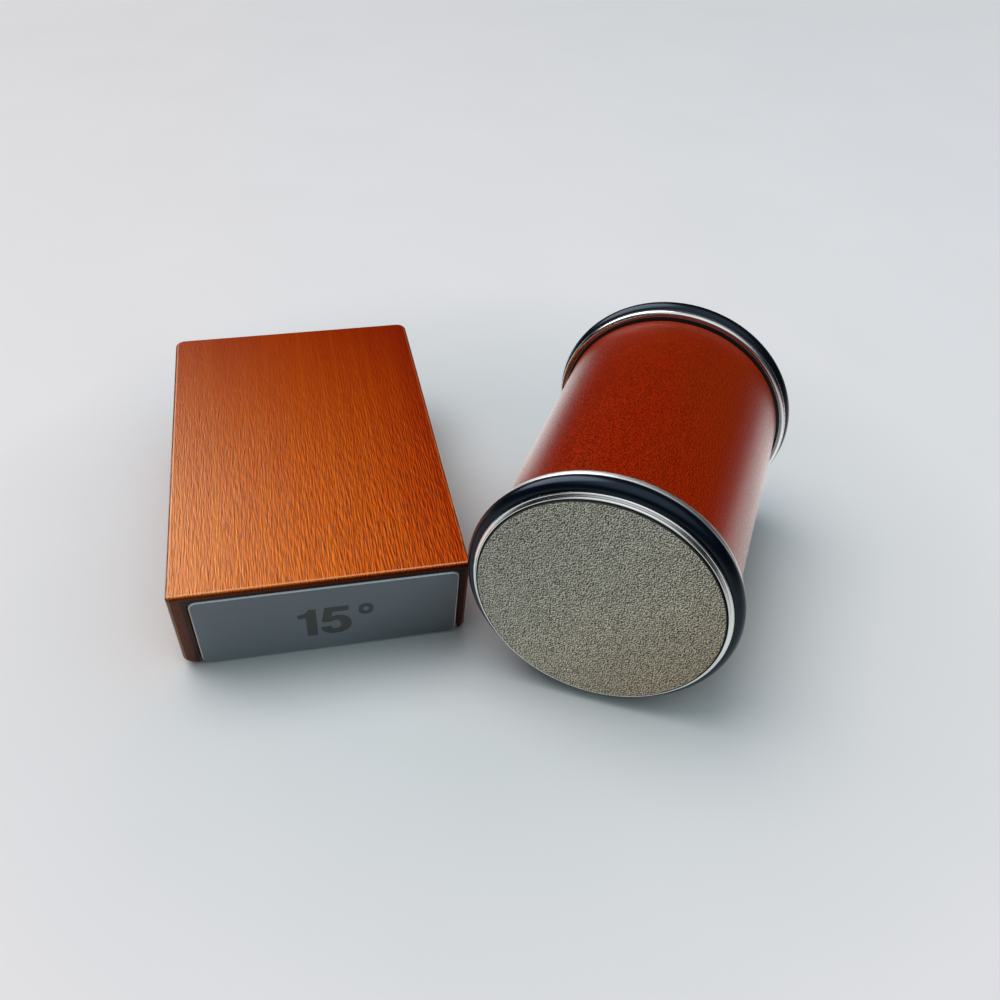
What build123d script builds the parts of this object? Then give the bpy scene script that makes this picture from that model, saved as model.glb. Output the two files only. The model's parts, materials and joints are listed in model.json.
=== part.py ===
from build123d import *
import math
import os

# Rolling knife sharpener: an angle block, and a roller that stands beside it on the same table.
# Lengths are in millimetres and angles in degrees. Z is up.
# The block's length runs along Y, with its 15 degree end towards -Y and the roller on its +X side.
# The origin is the middle of the bottom of the box that holds both.

# Clearances and cutting
overrun = 1.0  # how far a cutting solid passes beyond what it cuts
glue_gap = 0.05  # round a piece that is glued or pressed into a pocket
bore_gap = 0.02  # round a shaft, a screw or a ring in its seat
race_gap = 0.04  # between a ball and the groove that it runs in
pocket_gap = 0.08  # between a ball and the pocket of its cage
running_gap = 0.3  # between rings that pass each other inside a bearing

# Angle block
block_width = 63.0
block_length = 104.0  # along the top, from edge to edge
block_height = 27.0  # from the table to the top
front_angle = 15.0  # by which the front end leans back below its top edge
rear_angle = 20.0
block_top_round = 0.8  # round the outline of the top
block_foot_round = 3.0  # along the bottom of the sides
block_rear_round = 2.4  # down the two rear corners
block_corner_round = 0.8  # down the two front corners

# Pads let into both ends of the block
pad_width = 56.7
pad_off_centre = 0.9  # the front pad sits nearer to the right side
pad_top_margin = 2.7  # wood above the pad, along the slope
pad_thickness = 2.0
pad_proud = 0.3
pad_gap = 0.4
pad_corner = 2.0
pad_edge_round = 0.5

# Magnets behind the pads
magnet_diameter = 14.0
magnet_thickness = 5.0
magnet_pitch = 18.0
magnets_per_pad = 3

# Anti-slip sheet under the block
mat_margin = 6.0
mat_corner = 3.0
mat_thickness = 1.2
mat_proud = 0.5

# Roller as a whole
roller_length = 80.0  # from the outer face of one disc to that of the other
roller_heading = 30.0  # of the axle, turned from +Y towards +X
corner_depth = 5.2  # how far along the axle the block's front corner meets the wheel
corner_gap = 0.2  # between that rounded corner and the wheel's widest circle

# Wheels
tyre_section = 3.8  # diameter of the rubber ring's round section
tyre_middle_diameter = 54.2  # of the circle along the middle of that section
tyre_depth = 3.8  # of that circle behind the disc's face
rim_diameter = 52.7
rim_setback = 0.4  # of the wheel's front behind the disc's face
rim_step_depth = 1.1  # where the rim steps up to the lip
lip_diameter = 53.9  # in front of the rubber ring
flange_diameter = 56.6  # behind the rubber ring
flange_depth = 5.2  # where it would begin without the groove
flange_edge_round = 0.8
wheel_back_depth = 7.2
wheel_edge_chamfer = 0.15

# Discs and the magnets that hold them
disc_diameter = 51.4
disc_thickness = 1.2
disc_side_gap = 0.3
disc_floor_gap = 0.15
disc_edge_chamfer = 0.15
disc_magnet_diameter = 8.0
disc_magnet_thickness = 2.5
disc_magnet_circle = 34.0
disc_magnets_per_wheel = 6

# Axle and the screws that clamp the wheels on it
axle_diameter = 8.0
axle_end_depth = 5.2
axle_chamfer = 0.5
screw_diameter = 5.0
screw_length = 12.0
screw_head_diameter = 9.2
screw_head_rim = 0.4  # straight part of the countersunk head
screw_head_sink = 0.1  # of the head below the floor of the recess
screw_socket_across = 3.0
screw_socket_depth = 1.6
screw_hole_spare = 2.0  # tapped depth beyond the screw's end

# Ball bearings, 8 x 22 x 7
bearing_outer_diameter = 22.0
bearing_width = 7.0
bearing_depth = 9.4  # of the bearing's outer face behind the disc's face
ball_diameter = 3.97
ball_circle = 15.0
balls_per_bearing = 7
outer_land_diameter = 17.5
inner_land_diameter = 12.5
race_chamfer = 0.3
shield_diameter = 18.8
shield_thickness = 0.3
shield_depth = 0.2  # below the bearing's face
cage_closed_reach = 2.65  # from the balls' middle to the cage's closed side
cage_open_reach = 1.3

# Wheel hub, and the spacer between the bearings
hub_diameter = 11.6

# Bearing cups and their screws
cup_diameter = 30.0
cup_flange_diameter = 44.0
cup_flange_thickness = 1.6
cup_shoulder_diameter = 18.4
cup_shoulder_thickness = 2.5
cup_screw_diameter = 3.0
cup_screw_length = 12.0
cup_screw_head_diameter = 5.5
cup_screw_head_rim = 0.2
cup_screw_circle = 37.0
cup_screws_per_end = 3

# Handle
handle_diameter = 52.8
wheel_gap = 0.7  # between a wheel and the end of the handle
handle_bore = 14.0
handle_edge_round = 0.3

# Levels and places worked out from the sizes above
wood_height = block_height - mat_proud
front_lean = wood_height * math.tan(math.radians(front_angle))
rear_lean = wood_height * math.tan(math.radians(rear_angle))
pad_recess = pad_thickness - pad_proud
wheel_radius = (tyre_middle_diameter + tyre_section) / 2
disc_floor = disc_thickness + disc_floor_gap
handle_depth = wheel_back_depth + wheel_gap
handle_length = roller_length - 2 * handle_depth
bearing_back = bearing_depth + bearing_width
bearing_middle = bearing_depth + bearing_width / 2
cup_back = bearing_back + cup_shoulder_thickness

# The block's right front corner, were it sharp, would lie on a circle of this radius round the axle.
corner_radius = wheel_radius - block_corner_round / 2 + corner_gap
axle_way = Vector(math.sin(math.radians(roller_heading)), math.cos(math.radians(roller_heading)), 0)
side_way = Vector(axle_way.Y, -axle_way.X, 0)
block_corner = Vector(block_width / 2, 0, 0)
front_centre = (
    block_corner - axle_way * corner_depth + side_way * corner_radius + Vector(0, 0, wheel_radius)
)
rear_centre = front_centre + axle_way * roller_length

# Each end of the roller has its own frame: Z runs inwards along the axle from the disc's face.
front_end = Plane(origin=front_centre, x_dir=Vector(0, 0, 1), z_dir=axle_way)
rear_end = Plane(origin=rear_centre, x_dir=Vector(0, 0, 1), z_dir=-axle_way)


def turned(outline):
    """Solid of revolution about Z of a closed outline of (radius, depth) points."""
    section = make_face(Polyline(*outline, close=True))
    return revolve(Plane.XZ * section, axis=Axis.Z)


def tube(outer, inner, start, end):
    """Ring between two depths, given by its diameters."""
    return turned([(inner / 2, start), (outer / 2, start), (outer / 2, end), (inner / 2, end)])


def rod(diameter, start, end):
    """Cylinder between two depths."""
    return Pos(0, 0, start) * extrude(Circle(diameter / 2), end - start)


def ring_of(shape, circle, count):
    """Copies of a shape, evenly spaced on a circle about Z."""
    return [loc * shape for loc in PolarLocations(circle / 2, count)]


def cut_all(shape, tools):
    """The shape with every tool taken away."""
    for tool in tools:
        shape = shape - tool
    return shape


def group(solids):
    """Separate solids that share one node."""
    return Compound([item.solid() for item in solids])


# Block frame of an end: X across, Y up the slope from the wood's bottom edge, Z outwards
def end_plane(foot_y, angle, outwards):
    slope = math.radians(angle)
    normal = Vector(0, outwards * math.cos(slope), -math.sin(slope))
    return Plane(
        origin=Vector(0, foot_y, mat_proud),
        x_dir=Vector(-outwards, 0, 0),
        z_dir=normal,
    )


front_face = end_plane(front_lean, front_angle, -1)
rear_face = end_plane(block_length - rear_lean, rear_angle, 1)


def pad_height(angle):
    """Length of a pad along its slope."""
    return wood_height / math.cos(math.radians(angle)) - pad_top_margin


# Pad with rounded corners, and its outer edges eased
def pad_solid(face, angle, off_centre):
    height = pad_height(angle)
    sheet = Pos(0, height / 2) * RectangleRounded(pad_width, height, pad_corner)
    plate = extrude(sheet, pad_thickness)
    upper = plate.faces().sort_by(Axis.Z)[-1]
    plate = fillet(upper.edges(), pad_edge_round)
    return face * Pos(off_centre, 0, -pad_recess) * plate


# Space that a pad lies in, open at the bottom of the block
def pad_slot(face, angle, off_centre):
    height = pad_height(angle) + pad_gap
    width = pad_width + 2 * pad_gap
    sheet = RectangleRounded(width, 2 * height, pad_corner + pad_gap)
    tall = Pos(0, (height - overrun) / 2) * Rectangle(width + overrun, height + overrun)
    return face * Pos(off_centre, 0, -pad_recess) * extrude(sheet & tall, pad_recess + overrun)


# Round magnets in a row behind a pad, and with spare their pockets
def pad_magnets(face, angle, off_centre, spare):
    row = GridLocations(magnet_pitch, magnet_pitch, magnets_per_pad, 1)
    middle = face * Pos(off_centre, pad_height(angle) / 2, -pad_recess - magnet_thickness)
    disc = extrude(Circle(magnet_diameter / 2 + spare), magnet_thickness + spare)
    return [middle * loc * disc for loc in row]


# Anti-slip sheet, or with spare the recess for it
def mat_solid(spare, start, end):
    length = block_length - front_lean - rear_lean - 2 * mat_margin + 2 * spare
    width = block_width - 2 * mat_margin + 2 * spare
    middle = (block_length + front_lean - rear_lean) / 2
    sheet = RectangleRounded(width, length, mat_corner + spare)
    return Pos(0, middle, start) * extrude(sheet, end - start)


# Wooden block: rounded, then let in for the pads, the magnets and the sheet
def block_wood():
    outline = Polyline(
        (0, block_height),
        (block_length, block_height),
        (block_length - rear_lean, mat_proud),
        (front_lean, mat_proud),
        close=True,
    )
    wood = extrude(Plane.YZ * make_face(outline), block_width / 2, both=True)
    feet = wood.edges().filter_by(Axis.Y).group_by(Axis.Z)[0]
    wood = fillet(feet, block_foot_round)
    for end, corner_round in ((-1, block_rear_round), (0, block_corner_round)):
        face = wood.faces().sort_by(Axis.Y)[end]
        upright = [edge for edge in face.edges() if abs(edge.tangent_at(0.5).X) < 0.5]
        wood = fillet(ShapeList(upright).sort_by(Axis.Z)[-2:], corner_round)
    top = wood.faces().sort_by(Axis.Z)[-1]
    wood = fillet(top.edges().filter_by(Axis.Y), block_top_round)
    wood = wood - pad_slot(front_face, front_angle, pad_off_centre)
    wood = wood - pad_slot(rear_face, rear_angle, 0)
    wood = cut_all(wood, pad_magnets(front_face, front_angle, pad_off_centre, glue_gap))
    wood = cut_all(wood, pad_magnets(rear_face, rear_angle, 0, glue_gap))
    depth = mat_thickness
    return wood - mat_solid(glue_gap, mat_proud - overrun, depth)


# Countersunk screw along Z, head first, its head's face at depth 0
def countersunk(diameter, length, head, head_rim, spare):
    cone = head_rim + (head - diameter) / 2
    return turned(
        [
            (0, 0),
            (head / 2 + spare, 0),
            (head / 2 + spare, head_rim),
            (diameter / 2 + spare, cone),
            (diameter / 2 + spare, length),
            (0, length),
        ]
    )


def wheel_screw():
    screw = countersunk(screw_diameter, screw_length, screw_head_diameter, screw_head_rim, 0)
    across = RegularPolygon(screw_socket_across / 2, 6, major_radius=False)
    screw = screw - extrude(across, screw_socket_depth)
    return Pos(0, 0, disc_floor + screw_head_sink) * screw


# Screw hole through the wheel's web, and on above the sunk head
def wheel_screw_hole():
    hole = countersunk(
        screw_diameter, screw_length, screw_head_diameter, screw_head_rim, bore_gap
    )
    return [
        Pos(0, 0, disc_floor + screw_head_sink) * hole,
        rod(screw_head_diameter + 2 * bore_gap, disc_floor - overrun, disc_floor + screw_head_sink),
    ]


def disc_magnets(spare):
    magnet = rod(disc_magnet_diameter + 2 * spare, disc_floor, disc_floor + disc_magnet_thickness + spare)
    return ring_of(magnet, disc_magnet_circle, disc_magnets_per_wheel)


def tyre():
    return Pos(0, 0, tyre_depth) * Torus(tyre_middle_diameter / 2, tyre_section / 2)


# Wheel: narrow rim, step, lip, groove for the rubber ring, flange, and a hub up to the bearing
def wheel():
    edge = wheel_edge_chamfer
    blank = turned(
        [
            (0, rim_setback),
            (rim_diameter / 2 - edge, rim_setback),
            (rim_diameter / 2, rim_setback + edge),
            (rim_diameter / 2, rim_step_depth),
            (lip_diameter / 2 - edge, rim_step_depth),
            (lip_diameter / 2, rim_step_depth + edge),
            (lip_diameter / 2, flange_depth),
            (hub_diameter / 2, flange_depth),
            (hub_diameter / 2, bearing_depth),
            (0, bearing_depth),
        ]
    )
    flange = rod(flange_diameter, flange_depth, wheel_back_depth)
    blank = blank + fillet(flange.edges().filter_by(GeomType.CIRCLE), flange_edge_round)
    groove = Pos(0, 0, tyre_depth) * Torus(tyre_middle_diameter / 2, tyre_section / 2 + bore_gap)
    recess = rod(disc_diameter + 2 * disc_side_gap, rim_setback - overrun, disc_floor)
    shaft = rod(axle_diameter + 2 * bore_gap, axle_end_depth - bore_gap, bearing_depth + overrun)
    return cut_all(blank - groove - recess - shaft, wheel_screw_hole() + disc_magnets(glue_gap))


def disc():
    edge = disc_edge_chamfer
    return turned(
        [
            (0, 0),
            (disc_diameter / 2 - edge, 0),
            (disc_diameter / 2, edge),
            (disc_diameter / 2, disc_thickness),
            (0, disc_thickness),
        ]
    )


def groove_ring():
    """The space that the balls sweep, a little larger than the balls."""
    return Pos(0, 0, bearing_middle) * Torus(ball_circle / 2, ball_diameter / 2 + race_gap)


def outer_race():
    edge = race_chamfer
    outer = bearing_outer_diameter / 2
    race = turned(
        [
            (outer_land_diameter / 2, bearing_depth),
            (outer - edge, bearing_depth),
            (outer, bearing_depth + edge),
            (outer, bearing_back - edge),
            (outer - edge, bearing_back),
            (outer_land_diameter / 2, bearing_back),
        ]
    )
    seat = shield_depth + shield_thickness
    mouth = shield_diameter + 2 * bore_gap
    race = race - rod(mouth, bearing_depth - overrun, bearing_depth + seat)
    race = race - rod(mouth, bearing_back - seat, bearing_back + overrun)
    return race - groove_ring()


def inner_race():
    edge = race_chamfer
    bore = axle_diameter / 2 + bore_gap
    land = inner_land_diameter / 2
    race = turned(
        [
            (bore + edge, bearing_depth),
            (land, bearing_depth),
            (land, bearing_back),
            (bore + edge, bearing_back),
            (bore, bearing_back - edge),
            (bore, bearing_depth + edge),
        ]
    )
    return race - groove_ring()


def shields():
    start = bearing_depth + shield_depth
    inner = inner_land_diameter + 2 * running_gap
    outer_side = tube(shield_diameter, inner, start, start + shield_thickness)
    back = bearing_back - shield_depth
    return [outer_side, tube(shield_diameter, inner, back - shield_thickness, back)]


def balls(spare):
    ball = Pos(0, 0, bearing_middle) * Sphere(ball_diameter / 2 + spare)
    return ring_of(ball, ball_circle, balls_per_bearing)


# Crown cage: one closed side, one side open between the balls
def cage():
    ring = tube(
        outer_land_diameter - 2 * running_gap,
        inner_land_diameter + 2 * running_gap,
        bearing_middle - cage_open_reach,
        bearing_middle + cage_closed_reach,
    )
    return cut_all(ring, balls(pocket_gap))


# Wood screws of a bearing cup, or with spare the holes for them
def cup_screws(spare):
    length = cup_screw_length + spare
    screw = countersunk(
        cup_screw_diameter, length, cup_screw_head_diameter, cup_screw_head_rim, spare
    )
    return ring_of(Pos(0, 0, handle_depth) * screw, cup_screw_circle, cup_screws_per_end)


# Bearing cup: flange against the wood, bore for the bearing and a shoulder behind it
def cup_blank(spare):
    return turned(
        [
            (0, handle_depth),
            (cup_flange_diameter / 2 + spare, handle_depth),
            (cup_flange_diameter / 2 + spare, handle_depth + cup_flange_thickness),
            (cup_diameter / 2 + spare, handle_depth + cup_flange_thickness),
            (cup_diameter / 2 + spare, cup_back),
            (0, cup_back),
        ]
    )


def bored_cup():
    seat = rod(bearing_outer_diameter + 2 * bore_gap, handle_depth - overrun, bearing_back)
    hole = rod(cup_shoulder_diameter, bearing_back - overrun, cup_back + overrun)
    return cut_all(cup_blank(0) - seat - hole, cup_screws(bore_gap))


def axle():
    edge = axle_chamfer
    end = roller_length - axle_end_depth
    radius = axle_diameter / 2
    shaft = turned(
        [
            (0, axle_end_depth),
            (radius - edge, axle_end_depth),
            (radius, axle_end_depth + edge),
            (radius, end - edge),
            (radius - edge, end),
            (0, end),
        ]
    )
    hole_end = disc_floor + screw_head_sink + screw_length + screw_hole_spare
    hole = screw_diameter + 2 * bore_gap
    shaft = shaft - rod(hole, axle_end_depth - overrun, hole_end)
    return shaft - rod(hole, roller_length - hole_end, end + overrun)


def handle():
    """Turned wood, let in at both ends for the bearing cups and their screws."""
    wood = rod(handle_diameter, handle_depth, handle_depth + handle_length)
    wood = fillet(wood.edges().filter_by(GeomType.CIRCLE), handle_edge_round)
    wood = wood - rod(handle_bore, 0, roller_length)
    turned_end = Pos(0, 0, roller_length) * Rot(180, 0, 0)
    for place in (Pos(0, 0, 0), turned_end):
        wood = wood - place * cup_blank(glue_gap)
        wood = cut_all(wood, [place * screw for screw in cup_screws(glue_gap)])
    return wood


# Every piece in its place, by the name of its node
pieces = {
    "block_body": block_wood(),
    "pad_15": pad_solid(front_face, front_angle, pad_off_centre),
    "pad_20": pad_solid(rear_face, rear_angle, 0),
    "magnets_15": group(pad_magnets(front_face, front_angle, pad_off_centre, 0)),
    "magnets_20": group(pad_magnets(rear_face, rear_angle, 0, 0)),
    "base_mat": mat_solid(0, 0, mat_thickness),
    "handle": front_end * handle(),
    "axle": front_end * axle(),
    "bearing_spacer": front_end
    * tube(hub_diameter, axle_diameter + 2 * bore_gap, bearing_back, roller_length - bearing_back),
    "diamond_disc": front_end * disc(),
    "honing_disc": rear_end * disc(),
}
for end_name, end in (("front", front_end), ("rear", rear_end)):
    pieces[end_name + "_wheel"] = end * wheel()
    pieces[end_name + "_tyre"] = end * tyre()
    pieces[end_name + "_wheel_screw"] = end * wheel_screw()
    pieces[end_name + "_disc_magnets"] = group([end * item for item in disc_magnets(0)])
    pieces[end_name + "_bearing_cup"] = end * bored_cup()
    pieces[end_name + "_cup_screws"] = group([end * item for item in cup_screws(0)])
    pieces[end_name + "_outer_race"] = end * outer_race()
    pieces[end_name + "_inner_race"] = end * inner_race()
    pieces[end_name + "_shields"] = group([end * item for item in shields()])
    pieces[end_name + "_balls"] = group([end * item for item in balls(0)])
    pieces[end_name + "_cage"] = end * cage()

# Origin to the middle of the bottom of the box round both objects
whole = Compound([solid for piece in pieces.values() for solid in piece.solids()]).bounding_box()
to_origin = Pos(-whole.center().X, -whole.center().Y, -whole.min.Z)
os.makedirs("parts", exist_ok=True)
for name, piece in pieces.items():
    export_step(to_origin * piece, "parts/" + name + ".step")
print("size", whole.size)
print("axle through", front_centre - Vector(whole.center().X, whole.center().Y, whole.min.Z))
print("axle way", axle_way)
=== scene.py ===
import json
import math

import bpy
from mathutils import Matrix, Vector


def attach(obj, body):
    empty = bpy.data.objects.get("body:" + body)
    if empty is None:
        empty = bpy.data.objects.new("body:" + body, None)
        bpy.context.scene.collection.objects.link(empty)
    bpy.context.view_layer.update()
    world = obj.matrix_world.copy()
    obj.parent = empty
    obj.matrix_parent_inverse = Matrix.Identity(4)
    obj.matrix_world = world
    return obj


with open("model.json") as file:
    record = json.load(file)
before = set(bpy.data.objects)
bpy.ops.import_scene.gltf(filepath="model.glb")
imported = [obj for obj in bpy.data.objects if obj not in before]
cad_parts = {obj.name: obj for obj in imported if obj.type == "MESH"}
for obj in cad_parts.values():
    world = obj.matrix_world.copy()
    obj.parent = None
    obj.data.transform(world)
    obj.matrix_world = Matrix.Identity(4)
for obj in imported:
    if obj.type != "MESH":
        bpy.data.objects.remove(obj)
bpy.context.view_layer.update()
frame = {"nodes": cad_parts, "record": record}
nodes = frame["nodes"]

MM = 0.001

# Places in the shared frame, in metres
BLOCK_ORIGIN = Vector((-42.9054, -35.9896, 0.0)) * MM
DISC_CENTRE = Vector((10.9361, -54.8929, 29.0)) * MM
PAD_15_MIDDLE = Vector((-42.0054, -32.3796, 12.3683)) * MM
PAD_20_MIDDLE = Vector((-42.9054, 63.0080, 12.3788)) * MM
AXLE_TURN = math.radians(-30)

# Sizes of the block, in millimetres
BLOCK_LENGTH = 104.0
BLOCK_SIDE = 31.5  # from the middle to either side
PAD_SIDE = 28.75  # from the pad's middle to the edge of the wood beside it
PAD_TOP = 24.8  # height of the edge of the wood above the pad
PAD_15_SHIFT = 0.9  # of the 15 degree pad's middle to the right of the block's

# Sizes of the roller, in millimetres. Depth runs along the axle from the face of the diamond disc.
ROLLER_LENGTH = 80.0
HANDLE_FRONT = 8.0
HANDLE_BACK = 72.0
RECESS_RADIUS = 26.0  # of the seat of a disc
DISC_RADIUS = 25.7
FLANGE_DEPTH = 5.2
FLANGE_FOOT_RADIUS = 27.5
WHEEL_BACK_DEPTH = 7.2
WHEEL_BACK_RADIUS = 27.0
RIDGE_PITCH = 0.8  # from one ridge of the honing disc to the next
RIDGES_START_RADIUS = 1.5

# Printed figures, in millimetres
INK_THICKNESS = 0.04
BASELINE = 6.18  # of the figures below a pad's middle


class Nodes:
    """The nodes of one tree, made and joined."""

    def __init__(self, tree):
        self.tree = tree

    def fill(self, socket, value):
        """A socket as a value is linked, and any other value is set."""
        if isinstance(value, bpy.types.NodeSocket):
            self.tree.links.new(value, socket)
        else:
            socket.default_value = value

    def give(self, node, values):
        """Capital names are sockets, the others are settings."""
        for name, value in values.items():
            if name[0].isupper():
                self.fill(node.inputs[name.replace("_", " ")], value)
            else:
                setattr(node, name, value)

    def node(self, kind, **values):
        made = self.tree.nodes.new("ShaderNode" + kind)
        self.give(made, values)
        return made

    def math(self, operation, first, second=0.0):
        made = self.node("Math", operation=operation)
        self.fill(made.inputs[0], first)
        self.fill(made.inputs[1], second)
        return made.outputs["Value"]

    def product(self, first, *others):
        for other in others:
            first = self.math("MULTIPLY", first, other)
        return first

    def greatest(self, first, *others):
        for other in others:
            first = self.math("MAXIMUM", first, other)
        return first

    def distance(self, x, y):
        return self.math("SQRT", self.math("ADD", self.product(x, x), self.product(y, y)))

    def spread(self, value, low, high, to_low=0.0, to_high=1.0):
        """A value taken from one range to another, and held at the ends."""
        made = self.node("MapRange", Value=value)
        for name, limit in (("From Min", low), ("From Max", high), ("To Min", to_low), ("To Max", to_high)):
            made.inputs[name].default_value = limit
        return made.outputs["Result"]

    def band(self, value, rise, fall):
        """1 where a value lies past its rise and short of its fall, and 0 elsewhere."""
        return self.product(self.spread(value, *rise), self.spread(value, *fall))

    def vector(self, operation, first, second, output="Vector"):
        made = self.node("VectorMath", operation=operation)
        self.fill(made.inputs[0], first)
        self.fill(made.inputs[1], second)
        return made.outputs[output]

    def ramp(self, factor, *stops):
        """Each stop is a place and a colour, or a place and one number for a grey."""
        made = self.node("ValToRGB", Fac=factor)
        elements = made.color_ramp.elements
        while len(elements) < len(stops):
            elements.new(0.5)
        for element, (place, colour) in zip(elements, stops):
            element.position = place
            if not hasattr(colour, "__len__"):
                colour = (colour, colour, colour)
            element.color = (*colour, 1.0)
        return made.outputs["Color"]

    def mix(self, factor, first, second, blend="MIX"):
        made = self.node("Mix", data_type="RGBA", blend_type=blend)
        self.fill(made.inputs[0], factor)
        for index, colour in ((6, first), (7, second)):
            if isinstance(colour, tuple):
                colour = (*colour, 1.0)
            self.fill(made.inputs[index], colour)
        return made.outputs[2]

    def tinted(self, colour, *tints):
        for tint in tints:
            colour = self.mix(1.0, colour, tint, "MULTIPLY")
        return colour


class Look(Nodes):
    """A material in the making."""

    def __init__(self, name, **sockets):
        self.material = bpy.data.materials.new(name)
        self.material.use_nodes = True
        super().__init__(self.material.node_tree)
        self.shader = self.tree.nodes["Principled BSDF"]
        self.give(self.shader, sockets)

    def place(self, origin=(0, 0, 0), turn=0.0, stretch=(1, 1, 1)):
        """Coordinates in millimetres in a piece's own frame, each multiplied by its stretch."""
        mapped = self.node(
            "Mapping", vector_type="TEXTURE", Vector=self.node("TexCoord").outputs["Object"],
            Location=origin, Rotation=(0, 0, turn), Scale=[MM / share for share in stretch],
        )
        return mapped.outputs["Vector"]

    def parts(self, vector):
        made = self.node("SeparateXYZ", Vector=vector)
        return made.outputs["X"], made.outputs["Y"], made.outputs["Z"]

    def facing(self):
        """How far the surface faces to the right, to the back and upwards."""
        return self.parts(self.node("TexCoord").outputs["Normal"])

    def noise(self, vector, scale, detail, roughness, distortion=0.0):
        made = self.node(
            "TexNoise", Vector=vector, Scale=scale, Detail=detail, Roughness=roughness,
            Distortion=distortion,
        )
        return made.outputs["Fac"]

    def embossed(self, vector, scale, shift):
        """A noise less the same noise a little to one side: painted light and shade of fine relief."""
        first = self.noise(vector, scale, 1.0, 0.6)
        beside = self.noise(self.vector("ADD", vector, shift), scale, 1.0, 0.6)
        return self.math("ADD", self.math("SUBTRACT", first, beside), 0.5)

    def bump(self, height, strength, distance):
        """Raised and sunk detail; distance is in millimetres."""
        made = self.node("Bump", Height=height, Strength=strength, Distance=distance * MM)
        return made.outputs["Normal"]

    def finish(self, **sockets):
        self.give(self.shader, sockets)
        return self.material


def block_place(look, stretch=(1, 1, 1)):
    """X runs across the block from its middle, Y along it from the front, Z up from the table."""
    return look.place(BLOCK_ORIGIN, stretch=stretch)


def roller_place(look, stretch=(1, 1, 1)):
    """Y runs along the axle from the face of the diamond disc."""
    return look.place(DISC_CENTRE, AXLE_TURN, stretch)


def round_place(look):
    """Distance from the axle's line, and depth along it."""
    x, depth, z = look.parts(roller_place(look))
    return look.distance(x, z), depth


def turning_lines(look, radius, depth, density, detail):
    """Fine rings left by the lathe."""
    rings = look.node("CombineXYZ", X=look.product(radius, density), Y=look.product(depth, density))
    return look.noise(rings.outputs["Vector"], 1.0, detail, 0.7)
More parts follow.
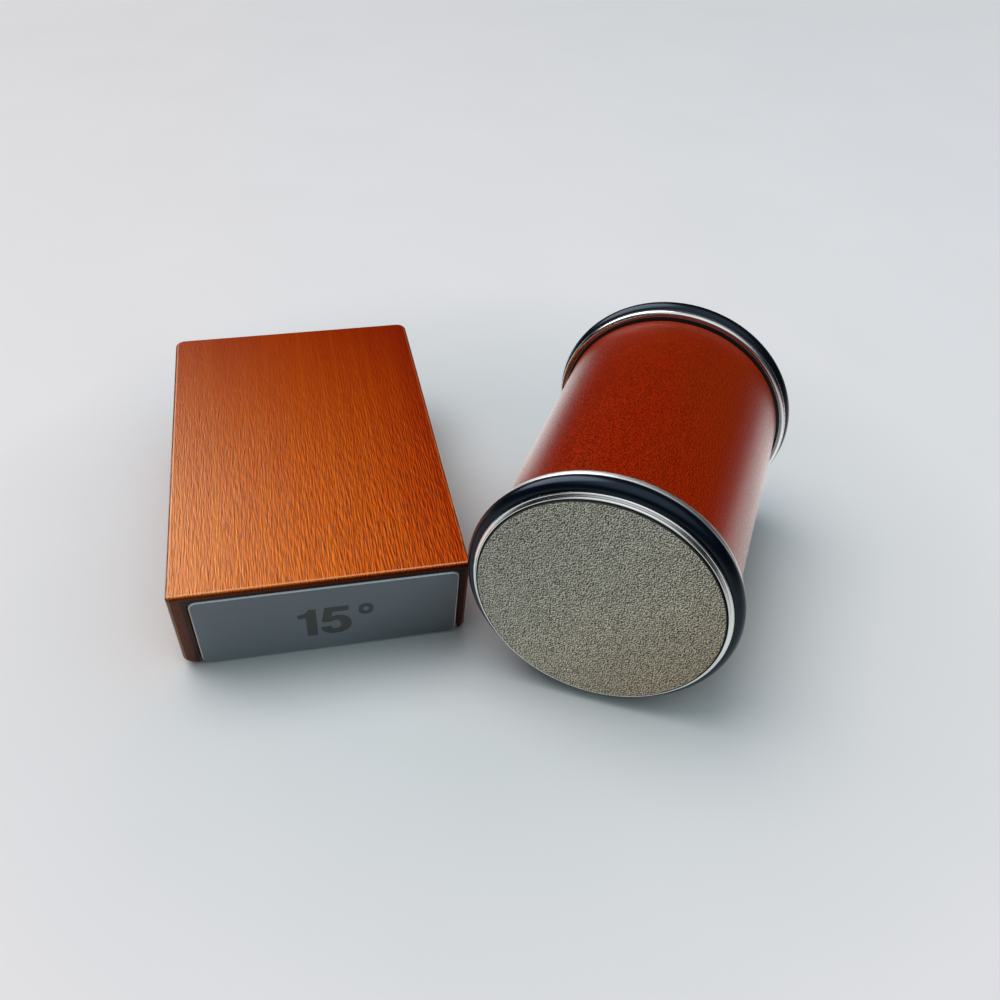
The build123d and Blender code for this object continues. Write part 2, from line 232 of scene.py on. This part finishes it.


# Stained wood of the block: fibres run front to back, and their painted light and shade stands out most at
# the front right. Painted light makes the top lighter at the front and on the left and darker on the right,
# and the right side face is painted brighter. The two ends are darker: end grain with painted shade. Painted
# highlights lighten the rounded edges at the front and on the left, and painted shade darkens the corners,
# the rear edge of the top and a line round the pads.
def block_wood():
    look = Look("block_wood", Specular_IOR_Level=0.25, Specular_Tint=(1.0, 0.70, 0.46, 1.0))
    across, along, height = look.parts(block_place(look))
    to_right = look.spread(across, -BLOCK_SIDE, BLOCK_SIDE)
    to_back = look.spread(along, 0.0, BLOCK_LENGTH)
    facing_right, facing_back, _ = look.facing()
    facing_side = look.math("ABSOLUTE", facing_right)
    facing_front = look.product(facing_back, -1.0)
    end_grain = look.spread(look.math("ABSOLUTE", facing_back), 0.55, 0.93)

    # Stain, in slow clouds and long bands, over painted light: lighter at the front and on the left, darker
    # at the back and on the right
    clouds = look.noise(block_place(look, (0.09, 0.02, 0.09)), 1.0, 3.0, 0.55, 0.6)
    bands = look.noise(block_place(look, (0.45, 0.010, 0.45)), 1.0, 3.0, 0.6, 0.2)
    # Painted light and shade across the block: lighter and paler on the left, darker on the right, and the
    # right side face painted brighter
    side_light_and_shade = look.ramp(
        to_right, (0.0, (1.06, 1.35, 1.5)), (0.5, (1.0, 1.0, 1.0)), (0.9, (0.76, 0.50, 0.3)),
        (0.985, (0.62, 0.32, 0.2)), (1.0, (1.7, 1.9, 1.5)),
    )
    # Painted light: lighter and more orange at the front, darker at the back
    colour = look.ramp(to_back, (0.0, (0.54, 0.098, 0.0020)), (1.0, (0.306, 0.027, 0.0002)))
    colour = look.tinted(colour, side_light_and_shade)
    darker = look.tinted(colour, (0.75, 0.50, 0.5))
    colour = look.mix(look.spread(clouds, 0.40, 0.75, 0.0, 0.35), colour, darker)
    lighter = look.tinted(colour, (1.25, 1.7, 1.0))
    colour = look.mix(look.spread(bands, 0.50, 0.72, 0.0, 0.5), colour, lighter)

    # Fibres, with painted light and shade on their sides, and dark pores
    fibre = look.noise(block_place(look, (3.1, 0.26, 3.1)), 1.0, 1.0, 0.6, 0.10)
    pores = look.noise(block_place(look, (2.2, 0.22, 2.2)), 1.0, 1.0, 0.5, 0.15)
    lit = look.embossed(block_place(look, (2.7, 0.22, 2.7)), 1.0, (0.5, 0.06, 0.0))
    relief = look.ramp(to_back, (0.0, 1.0), (0.45, 0.70), (0.75, 0.30), (1.0, 0.15))
    relief_shading = look.tinted(colour, look.ramp(lit, (0.34, 0.20), (0.5, 1.0), (0.66, 2.1)))
    shown = look.product(relief, look.spread(to_right, 0.0, 1.0, 0.50, 0.95))
    colour = look.mix(shown, colour, relief_shading)
    pore = look.spread(pores, 0.57, 0.66)
    colour = look.mix(look.product(pore, relief, 0.35), colour, (0.13, 0.011, 0.0003))

    # Ends of end grain with painted shade, painted highlights on the rounded edges, and painted shade
    # End grain is darker, and painted shade darkens the ends further, most on the right
    end_grain_and_shade = look.ramp(to_right, (0.0, (0.24, 0.16, 0.9)), (1.0, (0.14, 0.06, 0.5)))
    colour = look.mix(end_grain, colour, look.tinted(colour, end_grain_and_shade))
    # Painted highlights along the rounded front edge and the rounded edges on the left
    front_edge_highlight = look.product(look.band(facing_front, (0.10, 0.25), (0.60, 0.45)), 0.6)
    side_edge_highlight = look.product(
        look.band(facing_side, (0.03, 0.09), (0.30, 0.20)), look.spread(across, 0.0, -BLOCK_SIDE, 0.1, 0.5)
    )
    colour = look.mix(look.greatest(front_edge_highlight, side_edge_highlight), colour, (0.78, 0.36, 0.17))
    # Painted shade along the rounded corners, the rear edge of the top and a dark line round the pads
    corner = look.greatest(
        look.band(facing_side, (0.28, 0.50), (0.97, 0.93)), look.band(facing_back, (0.10, 0.30), (0.90, 0.80))
    )
    from_pad_middle = look.math("SUBTRACT", across, look.spread(to_back, 0.0, 1.0, PAD_15_SHIFT, 0.0))
    beside_pad = look.math("SUBTRACT", look.math("ABSOLUTE", from_pad_middle), PAD_SIDE)
    above_pad = look.math("SUBTRACT", height, PAD_TOP)
    pad_shadow_line = look.product(look.spread(look.greatest(beside_pad, above_pad), 1.2, 0.5), end_grain)
    painted_edge_shade = look.greatest(look.product(corner, 0.75), pad_shadow_line)
    colour = look.mix(painted_edge_shade, colour, (0.014, 0.0035, 0.0016))

    raised = look.math("SUBTRACT", fibre, look.product(pore, 0.35))
    raised = look.product(raised, relief, look.spread(to_right, 0.0, 1.0, 1.0, 0.4))
    gloss = look.product(
        look.spread(across, -BLOCK_SIDE, 0.0, 0.62, 0.24),
        look.spread(end_grain, 0.0, 1.0, 1.0, 0.12),
        look.spread(along, 30.0, BLOCK_LENGTH, 1.0, 0.50),
    )
    return look.finish(
        Base_Color=colour, Roughness=look.spread(fibre, 0.2, 0.8, 0.28, 0.20),
        Normal=look.bump(raised, 0.9, 0.10), Specular_IOR_Level=gloss,
    )


# Deep red stained wood of the handle: fibres run along the axle, with painted light and shade on them, under
# a satin varnish. Painted light makes the right flank lighter and warmer, and the varnish is a little duller
# towards the rear wheel.
def handle_wood():
    look = Look("handle_wood", Specular_IOR_Level=0.26, Specular_Tint=(1.0, 0.60, 0.35, 1.0))
    side, depth, _ = look.parts(roller_place(look))
    clouds = look.noise(roller_place(look, (0.06, 0.02, 0.06)), 1.0, 3.0, 0.55, 0.4)
    fibre = look.noise(roller_place(look, (3.0, 1.9, 3.0)), 1.0, 1.0, 0.6, 0.3)
    pores = look.noise(roller_place(look, (2.3, 1.3, 2.3)), 1.0, 2.0, 0.5, 0.8)
    lit = look.embossed(roller_place(look, (3.3, 2.2, 3.3)), 1.0, (0.4, 0.2, -0.4))
    colour = look.ramp(clouds, (0.3, (0.250, 0.0105, 0.0003)), (0.7, (0.230, 0.0150, 0.0004)))
    # Painted light: the right flank lighter and warmer
    right_flank_light = look.ramp(look.spread(side, 8.0, 26.0), (0.0, 1.0), (1.0, (1.45, 1.8, 1.8)))
    colour = look.tinted(colour, right_flank_light)
    # Painted light and shade of the fibres' relief, stronger at the front
    relief_shading = look.tinted(colour, look.ramp(lit, (0.34, 0.36), (0.5, 1.0), (0.66, 1.8)))
    colour = look.mix(look.spread(depth, HANDLE_FRONT, HANDLE_BACK, 0.80, 0.45), colour, relief_shading)
    colour = look.mix(look.spread(pores, 0.58, 0.70, 0.0, 0.10), colour, (0.06, 0.002, 0.0002))
    duller = look.spread(depth, 50.0, HANDLE_BACK, 0.0, 0.08)
    rough = look.math("ADD", look.spread(fibre, 0.2, 0.8, 0.27, 0.20), duller)
    return look.finish(Base_Color=colour, Roughness=rough, Normal=look.bump(fibre, 0.5, 0.06))


# Smooth slate grey pad with a very fine moulded grain. Painted shade darkens it towards its lower right
# corner, and a painted highlight lightens its rounded edge.
def pad_rubber():
    look = Look("pad_slate", Specular_IOR_Level=0.22)
    place = block_place(look)
    across, _, up = look.parts(place)
    _, facing_back, _ = look.facing()
    grain = look.noise(place, 3.2, 3.0, 0.6)
    clouds = look.noise(place, 0.05, 2.0, 0.5)
    # Painted shade, darker towards the lower right corner
    to_lower_right = look.spread(look.math("SUBTRACT", across, up), -46.0, 24.0)
    colour = look.tinted(
        look.ramp(clouds, (0.3, (0.165, 0.180, 0.208)), (0.7, (0.178, 0.194, 0.223))),
        look.ramp(to_lower_right, (0.0, 1.05), (0.65, 0.94), (1.0, 0.42)),
        look.ramp(grain, (0.3, 0.94), (0.7, 1.04)),
    )
    # Painted highlight on the pad's rounded edge
    pad_edge_highlight = look.spread(look.math("ABSOLUTE", facing_back), 0.93, 0.82)
    colour = look.mix(pad_edge_highlight, colour, (0.72, 0.75, 0.78))
    rough = look.spread(grain, 0.3, 0.7, 0.34, 0.42)
    return look.finish(Base_Color=colour, Roughness=rough, Normal=look.bump(grain, 0.08, 0.03))


# Printed figures, a darker warm grey than the pad
def figure_ink():
    look = Look("figure_ink", Specular_IOR_Level=0.22)
    grain = look.noise(block_place(look), 5.0, 3.0, 0.6)
    colour = look.ramp(grain, (0.3, (0.050, 0.048, 0.049)), (0.7, (0.062, 0.059, 0.059)))
    rough = look.spread(grain, 0.3, 0.7, 0.46, 0.56)
    return look.finish(Base_Color=colour, Roughness=rough, Normal=look.bump(grain, 0.05, 0.02))


# Matt anti-slip sheet with a moulded dot grid
def mat_rubber():
    look = Look("mat_rubber")
    place = block_place(look)
    dots = look.node("TexVoronoi", Vector=place, Scale=0.5, Randomness=0.0).outputs["Distance"]
    grain = look.noise(place, 4.0, 4.0, 0.6)
    colour = look.ramp(grain, (0.3, (0.012, 0.013, 0.015)), (0.7, (0.022, 0.023, 0.026)))
    raised = look.math("ADD", look.spread(dots, 0.25, 0.45, 1.0, 0.0), look.product(grain, 0.2))
    rough = look.spread(grain, 0.3, 0.7, 0.78, 0.9)
    return look.finish(Base_Color=colour, Roughness=rough, Normal=look.bump(raised, 0.5, 0.12))


# Blue-black rubber ring, smooth with a faint bloom
def tyre_rubber():
    look = Look("tyre_rubber", Specular_IOR_Level=0.28, Specular_Tint=(0.60, 0.78, 1.0, 1.0))
    place = roller_place(look)
    grain = look.noise(place, 2.4, 4.0, 0.6)
    bloom = look.noise(place, 0.12, 3.0, 0.6)
    colour = look.ramp(bloom, (0.3, (0.0012, 0.0026, 0.0062)), (0.7, (0.0026, 0.0046, 0.0095)))
    colour = look.tinted(colour, look.ramp(grain, (0.3, 0.85), (0.7, 1.15)))
    rough = look.spread(bloom, 0.3, 0.7, 0.17, 0.22)
    return look.finish(Base_Color=colour, Roughness=rough, Normal=look.bump(grain, 0.06, 0.03))


# Polished steel with the fine turning lines of the lathe. Painted shade makes it a dark non-metal in the
# discs' recesses, on the wheels' back faces and on the rear flange beside its rubber ring, and the front
# flange is duller.
def polished_steel():
    look = Look("polished_steel")
    radius, depth = round_place(look)
    from_rear = look.math("SUBTRACT", ROLLER_LENGTH, depth)
    from_end = look.math("MINIMUM", depth, from_rear)
    recess = look.spread(radius, RECESS_RADIUS + 0.06, RECESS_RADIUS + 0.02)
    back = look.product(
        look.spread(from_end, WHEEL_BACK_DEPTH - 0.08, WHEEL_BACK_DEPTH - 0.03),
        look.spread(radius, WHEEL_BACK_RADIUS + 0.05, WHEEL_BACK_RADIUS - 0.05),
    )
    rear_flange = look.product(
        look.spread(radius, FLANGE_FOOT_RADIUS - 0.1, FLANGE_FOOT_RADIUS + 0.1),
        look.band(from_rear, (4.8, 4.9), (6.4, 6.3)),
    )
    front_flange = look.product(
        look.spread(radius, FLANGE_FOOT_RADIUS, FLANGE_FOOT_RADIUS + 0.2),
        look.band(
            depth, (FLANGE_DEPTH - 0.2, FLANGE_DEPTH + 0.1), (WHEEL_BACK_DEPTH + 0.2, WHEEL_BACK_DEPTH)
        ),
    )
    # Painted shade: near black and not metal in the recess, on the back faces and beside the rear rubber ring
    painted_shade = look.greatest(recess, back, rear_flange)
    lines = turning_lines(look, radius, depth, 3.0, 3.0)
    smear = look.noise(roller_place(look), 0.25, 3.0, 0.6)
    colour = look.ramp(lines, (0.38, (0.26, 0.257, 0.255)), (0.60, (0.90, 0.895, 0.885)))
    colour = look.mix(painted_shade, colour, (0.004, 0.004, 0.005))
    smeared = look.spread(smear, 0.35, 0.75, 0.0, 0.05)
    rough = look.math("ADD", look.spread(lines, 0.3, 0.7, 0.06, 0.15), smeared)
    rough = look.math("ADD", rough, look.product(front_flange, 0.32))
    rough = look.greatest(rough, look.product(painted_shade, 0.7))
    return look.finish(
        Base_Color=colour, Metallic=look.math("SUBTRACT", 1.0, painted_shade), Roughness=rough,
        Normal=look.bump(lines, 0.20, 0.03),
    )


# Coated face of the diamond disc: fine bright and dark grit, with painted light and shade of its relief, on a
# grey-olive ground, browner at the lower right. Painted shade makes its edge dark, and its back is plain
# steel.
def diamond_grit():
    look = Look("diamond_grit", Specular_IOR_Level=0.4)
    place = roller_place(look)
    side, _, up = look.parts(place)
    radius, depth = round_place(look)
    _, specks, _ = look.parts(look.node("TexVoronoi", Vector=place, Scale=5.6).outputs["Color"])
    # Painted light and shade of the grit's fine relief, mixed with real bright specks
    grain_relief_shading = look.embossed(place, 2.9, (0.14, 0.0, -0.14))
    grit_and_relief_shading = look.math("ADD", look.product(grain_relief_shading, 1.1), look.product(specks, 0.40))
    patches = look.noise(place, 0.5, 2.0, 0.6)
    tone = look.math("ADD", grit_and_relief_shading, look.spread(patches, 0.3, 0.7, -0.26, -0.23))
    clouds = look.noise(place, 0.06, 3.0, 0.6)
    to_lower_right = look.spread(look.math("SUBTRACT", side, up), -20.0, 34.0)
    colour = look.tinted(
        look.ramp(
            tone, (0.33, (0.020, 0.016, 0.012)), (0.50, (0.365, 0.313, 0.227)), (0.66, (1.0, 0.92, 0.77))
        ),
        look.ramp(
            to_lower_right, (0.0, (0.98, 0.98, 1.00)), (0.5, (1.06, 1.00, 0.97)), (1.0, (0.96, 0.82, 0.70))
        ),
        look.ramp(clouds, (0.35, 0.97), (0.65, 1.03)),
    )
    back = look.product(
        look.spread(depth, 0.25, 0.35), look.spread(radius, DISC_RADIUS - 0.15, DISC_RADIUS - 0.25)
    )
    # Painted shade: the disc's edge near black
    disc_edge_shade = look.spread(radius, DISC_RADIUS - 0.20, DISC_RADIUS - 0.12)
    colour = look.mix(back, colour, (0.62, 0.61, 0.58))
    colour = look.mix(disc_edge_shade, colour, (0.012, 0.012, 0.012))
    relief = look.noise(place, 2.6, 2.0, 0.7)
    return look.finish(
        Base_Color=colour, Metallic=look.product(back, 0.9),
        Roughness=look.spread(grit_and_relief_shading, 0.3, 0.9, 0.60, 0.40), Normal=look.bump(relief, 1.0, 0.50),
    )


# Honing disc: hard steel, with fine concentric ridges on its outer face
def honing_steel():
    look = Look("honing_steel", Metallic=1.0)
    radius, depth = round_place(look)
    wave = look.math("SINE", look.product(radius, 2 * math.pi / RIDGE_PITCH))
    fine = look.noise(roller_place(look), 1.5, 4.0, 0.6)
    ridged = look.band(
        radius, (RIDGES_START_RADIUS, RIDGES_START_RADIUS + 0.5), (DISC_RADIUS - 0.8, DISC_RADIUS - 1.1)
    )
    outer_face = look.spread(depth, ROLLER_LENGTH - 0.5, ROLLER_LENGTH - 0.3)
    raised = look.product(wave, ridged, outer_face)
    colour = look.ramp(fine, (0.3, (0.50, 0.50, 0.50)), (0.7, (0.55, 0.55, 0.545)))
    rough = look.spread(fine, 0.3, 0.7, 0.24, 0.34)
    return look.finish(Base_Color=colour, Roughness=rough, Normal=look.bump(raised, 0.5, 0.06))


# Turned metal of the hidden pieces, one look for each kind
def turned_metal(name, low, high, smooth, rough):
    look = Look(name, Metallic=1.0)
    radius, depth = round_place(look)
    lines = turning_lines(look, radius, depth, 6.0, 4.0)
    fine = look.noise(roller_place(look), 1.2, 3.0, 0.6)
    worn = look.spread(fine, 0.3, 0.7, 0.0, 0.05)
    roughness = look.math("ADD", look.spread(lines, 0.3, 0.7, smooth, rough), worn)
    return look.finish(
        Base_Color=look.ramp(lines, (0.3, low), (0.7, high)), Roughness=roughness,
        Normal=look.bump(lines, 0.15, 0.03),
    )


def cage_nylon():
    look = Look("cage_nylon", Subsurface_Weight=0.1, Subsurface_Scale=0.001)
    fine = look.noise(roller_place(look), 2.5, 4.0, 0.6)
    colour = look.ramp(fine, (0.3, (0.70, 0.66, 0.55)), (0.7, (0.78, 0.75, 0.66)))
    rough = look.spread(fine, 0.3, 0.7, 0.42, 0.52)
    return look.finish(Base_Color=colour, Roughness=rough, Normal=look.bump(fine, 0.08, 0.03))


def magnet_plate():
    look = Look("magnet_plate", Metallic=1.0)
    fine = look.noise(look.place(), 2.0, 4.0, 0.6)
    colour = look.ramp(fine, (0.3, (0.62, 0.61, 0.58)), (0.7, (0.72, 0.71, 0.68)))
    rough = look.spread(fine, 0.3, 0.7, 0.16, 0.26)
    return look.finish(Base_Color=colour, Roughness=rough, Normal=look.bump(fine, 0.05, 0.02))


looks = {
    "block_wood": block_wood(),
    "handle_wood": handle_wood(),
    "pad": pad_rubber(),
    "mat_rubber": mat_rubber(),
    "tyre_rubber": tyre_rubber(),
    "polished_steel": polished_steel(),
    "diamond_grit": diamond_grit(),
    "honing_steel": honing_steel(),
    "steel": turned_metal("turned_steel", (0.48, 0.48, 0.48), (0.60, 0.60, 0.60), 0.24, 0.34),
    "bearing_steel": turned_metal("bearing_steel", (0.58, 0.58, 0.59), (0.70, 0.70, 0.71), 0.12, 0.20),
    "cup_aluminium": turned_metal("cup_aluminium", (0.62, 0.63, 0.64), (0.76, 0.77, 0.78), 0.26, 0.38),
    "cage_nylon": cage_nylon(),
    "magnet": magnet_plate(),
}
for part in frame["record"]["subparts"]:
    node = nodes[part["node"]]
    for index in range(len(node.data.materials)):
        node.data.materials[index] = looks[part["material_slot"]]


def placed(name, data):
    """A new object of the scene."""
    made = bpy.data.objects.new(name, data)
    bpy.context.scene.collection.objects.link(made)
    return made


def standing(origin, right, up, out):
    """The place of something at an origin, by the three directions that it faces."""
    return Matrix.Translation(origin) @ Matrix((right, up, out)).transposed().to_4x4()


# Printed figures. Outlines are in millimetres from a figure's lower left; a third value marks a corner.
ONE = [[
    (4.0, 0, 1), (4.0, 10.9, 1), (2.35, 10.9, 1), (1.95, 9.95), (1.15, 9.3), (0, 9.1, 1),
    (0, 7.65, 1), (1.75, 7.65, 1), (1.75, 0, 1),
]]
FIVE = [[
    (1.18, 10.9, 1), (6.33, 10.9, 1), (6.33, 9.0, 1), (2.86, 9.0, 1), (2.58, 7.0, 1), (3.81, 7.35),
    (5.82, 6.6), (6.78, 3.9), (5.99, 1.1), (3.42, -0.1), (0.95, 0.75), (0, 3.0, 1), (2.3, 3.2, 1),
    (2.69, 2.05), (3.42, 1.75), (4.2, 2.3), (4.48, 3.7), (4.14, 5.0), (3.36, 5.5), (2.35, 4.95, 1),
    (0.34, 5.2, 1),
]]
TWO = [[
    (0, 0, 1), (5.95, 0, 1), (5.95, 1.95, 1), (2.85, 1.95, 1), (4.2, 3.5), (5.6, 5.4), (6.0, 7.6),
    (5.2, 10.1), (3.1, 11.0), (0.9, 10.1), (0.15, 7.1, 1), (2.15, 7.1, 1), (2.4, 8.6), (3.1, 9.15),
    (3.8, 8.6), (3.9, 7.3), (3.3, 5.9), (1.6, 4.2), (0.3, 2.2),
]]
NOUGHT = [
    [(3.02, 11.0), (5.1, 9.9), (6.05, 5.45), (5.1, 1.0), (3.02, -0.1), (0.95, 1.0), (0, 5.45), (0.95, 9.9)],
    [(3.02, 9.2), (2.3, 8.3), (2.05, 5.45), (2.3, 2.6), (3.02, 1.7), (3.75, 2.6), (4.0, 5.45), (3.75, 8.3)],
]
DEGREE = [
    [
        (1.62, 10.9), (2.85, 10.25), (3.25, 8.7), (2.85, 7.15), (1.62, 6.5), (0.4, 7.15), (0, 8.7),
        (0.4, 10.25),
    ],
    [(1.62, 9.65), (1.15, 9.3), (0.95, 8.7), (1.15, 8.1), (1.62, 7.75), (2.1, 8.1), (2.3, 8.7), (2.1, 9.3)],
]


def print_figures(name, figures, pad_middle, right, out, ink):
    """Figures and how far each begins from the pad's middle line, printed on a pad."""
    curve = bpy.data.curves.new(name, "CURVE")
    curve.dimensions = "2D"
    curve.fill_mode = "BOTH"
    curve.resolution_u = 8
    curve.extrude = INK_THICKNESS / 2 * MM
    for start, outlines in figures:
        for outline in outlines:
            spline = curve.splines.new("BEZIER")
            spline.bezier_points.add(len(outline) - 1)
            spline.use_cyclic_u = True
            for point, (x, y, *corner) in zip(spline.bezier_points, outline):
                point.co = Vector((start + x, y - BASELINE, 0)) * MM
                point.handle_left_type = point.handle_right_type = "VECTOR" if corner else "AUTO"
    curve.materials.append(ink)
    piece = placed(name, curve)
    middle = pad_middle + out * (INK_THICKNESS / 2) * MM
    piece.matrix_world = standing(middle, right, out.cross(right), out)
    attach(piece, "block")


def undercut(degrees, way):
    """The direction that an end face looks in, when it leans back by an angle below its top edge."""
    angle = math.radians(degrees)
    return Vector((0, way * math.cos(angle), -math.sin(angle)))


dark_grey = figure_ink()
print_figures(
    "figures_15", [(-6.68, ONE), (-1.98, FIVE), (6.46, DEGREE)],
    PAD_15_MIDDLE, Vector((1, 0, 0)), undercut(15, -1), dark_grey,
)
print_figures(
    "figures_20", [(-7.6, TWO), (-0.5, NOUGHT), (6.95, DEGREE)],
    PAD_20_MIDDLE, Vector((-1, 0, 0)), undercut(20, 1), dark_grey,
)


# Floor of matt paper, pale to the eye, with painted light and shade: lighter and warmer to the left, painted
# shade close to the pieces and a slow fade away from them. Reflections show a painted floor, pale near the
# pieces, brighter and warmer behind and to the right and dark farther off, and the light that it throws back
# is that of a mid grey.
def floor_paper():
    look = Look("floor_paper", Roughness=0.9, Specular_IOR_Level=0.0)
    across, away, _ = look.parts(look.place())
    reach = look.distance(across, away)
    clouds = look.noise(look.place(), 0.02, 2.0, 0.5)
    shelter = look.node("AmbientOcclusion", samples=8, Distance=0.035).outputs["AO"]
    # Painted light and shade for camera rays: lighter and warmer to the left, painted shade near the pieces
    # and where they shelter the floor, darker far off
    pale = look.tinted(
        look.ramp(
            look.spread(across, -250.0, 250.0), (0.0, (0.745, 0.672, 0.688)), (1.0, (0.650, 0.622, 0.646))
        ),
        look.ramp(look.spread(reach, 68.0, 140.0), (0.0, (0.93, 1.0, 1.0)), (1.0, 1.15)),
        look.ramp(look.spread(away, 130.0, 480.0), (0.0, 1.0), (1.0, 0.91)),
        look.ramp(shelter, (0.25, 0.64), (0.65, 1.0)),
        look.ramp(clouds, (0.3, 0.99), (0.7, 1.01)),
    )
    # Painted reflection for glossy rays: pale near the pieces, brighter behind and to the right, dark farther
    # off
    mirrored = look.tinted(
        look.ramp(look.spread(reach, 60.0, 300.0), (0.0, 1.0), (1.0, (0.10, 0.105, 0.11))),
        look.ramp(look.spread(away, -60.0, 20.0), (0.0, 1.0), (1.0, 1.6)),
        look.ramp(look.spread(across, 60.0, 200.0), (0.0, 1.0), (1.0, (1.70, 1.38, 1.38))),
    )
    path = look.node("LightPath")
    colour = look.mix(path.outputs["Is Camera Ray"], (0.30, 0.31, 0.32), pale)
    colour = look.mix(path.outputs["Is Glossy Ray"], colour, mirrored)
    return look.finish(Base_Color=colour)


FLOOR_HALF = 4.0
floor_mesh = bpy.data.meshes.new("floor")
corners = [(x * FLOOR_HALF, y * FLOOR_HALF, 0) for x, y in ((-1, -1), (1, -1), (1, 1), (-1, 1))]
floor_mesh.from_pydata(corners, [], [(0, 1, 2, 3)])
floor_mesh.materials.append(floor_paper())
placed("floor", floor_mesh)


# Key light: a very broad soft box overhead, a little behind and to the left, not seen in gloss
key_data = bpy.data.lights.new("key", "SUN")
key_data.energy = 1.60
key_data.angle = math.radians(46)
key_data.color = (1.0, 0.965, 0.945)
key = placed("key", key_data)
key.visible_glossy = False
key.rotation_euler = Vector((0.30, -0.16, -0.94)).to_track_quat("-Z", "Y").to_euler()

# Cool soft fill from overhead and in front, dim at the horizon. In gloss it is narrower and whiter, and
# a soft patch low at the back left puts the sheen on the block's near left corner. To the eye the
# studio behind the floor is a plain pale grey.
world = bpy.data.worlds.new("studio")
bpy.context.scene.world = world
world.use_nodes = True
studio = Nodes(world.node_tree)
way = studio.node("TexCoord").outputs["Generated"]


def sky(towards, tint, *steps):
    """Light by how near a direction lies to the given one."""
    near = studio.vector("DOT_PRODUCT", way, towards, "Value")
    return studio.ramp(near, *((place, [level * share for share in tint]) for place, level in steps))


OVERHEAD = (-0.05, -0.34, 0.94)
BACK_LEFT = (-0.50, 0.48, 0.72)
fill = sky(OVERHEAD, (0.79, 0.97, 0.99), (0.0, 0.05), (0.30, 0.10), (0.70, 0.66), (1.0, 0.90))
gloss = sky(OVERHEAD, (0.90, 0.95, 0.97), (0.0, 0.02), (0.35, 0.03), (0.60, 0.12), (0.80, 1.0), (1.0, 1.5))
patch = sky(BACK_LEFT, (1.0, 1.0, 1.0), (0.80, 0.0), (0.84, 0.4), (0.87, 2.0), (0.89, 4.5), (0.93, 5.5))
gloss = studio.mix(1.0, gloss, patch, "ADD")
light_path = studio.node("LightPath")
light = studio.mix(light_path.outputs["Is Glossy Ray"], fill, gloss)
seen = studio.mix(light_path.outputs["Is Camera Ray"], light, (0.66, 0.67, 0.69))
studio.fill(world.node_tree.nodes["Background"].inputs["Color"], seen)

# Camera, fitted to the outlines of both pieces in the photograph
CAMERA_PLACE = Vector((-44.2718, -204.0178, 181.0201)) * MM
camera_data = bpy.data.cameras.new("camera")
camera_data.sensor_width = 36.0
camera_data.lens = 39.076
camera_data.clip_start = 0.01
camera_data.clip_end = 20.0
camera = placed("camera", camera_data)
right = Vector((0.978662, -0.203776, 0.026384)).normalized()
up = Vector((0.107041, 0.615205, 0.781066))
up = (up - right * up.dot(right)).normalized()
camera.matrix_world = standing(CAMERA_PLACE, right, up, right.cross(up))
bpy.context.scene.camera = camera

bpy.context.scene.view_settings.view_transform = "Standard"
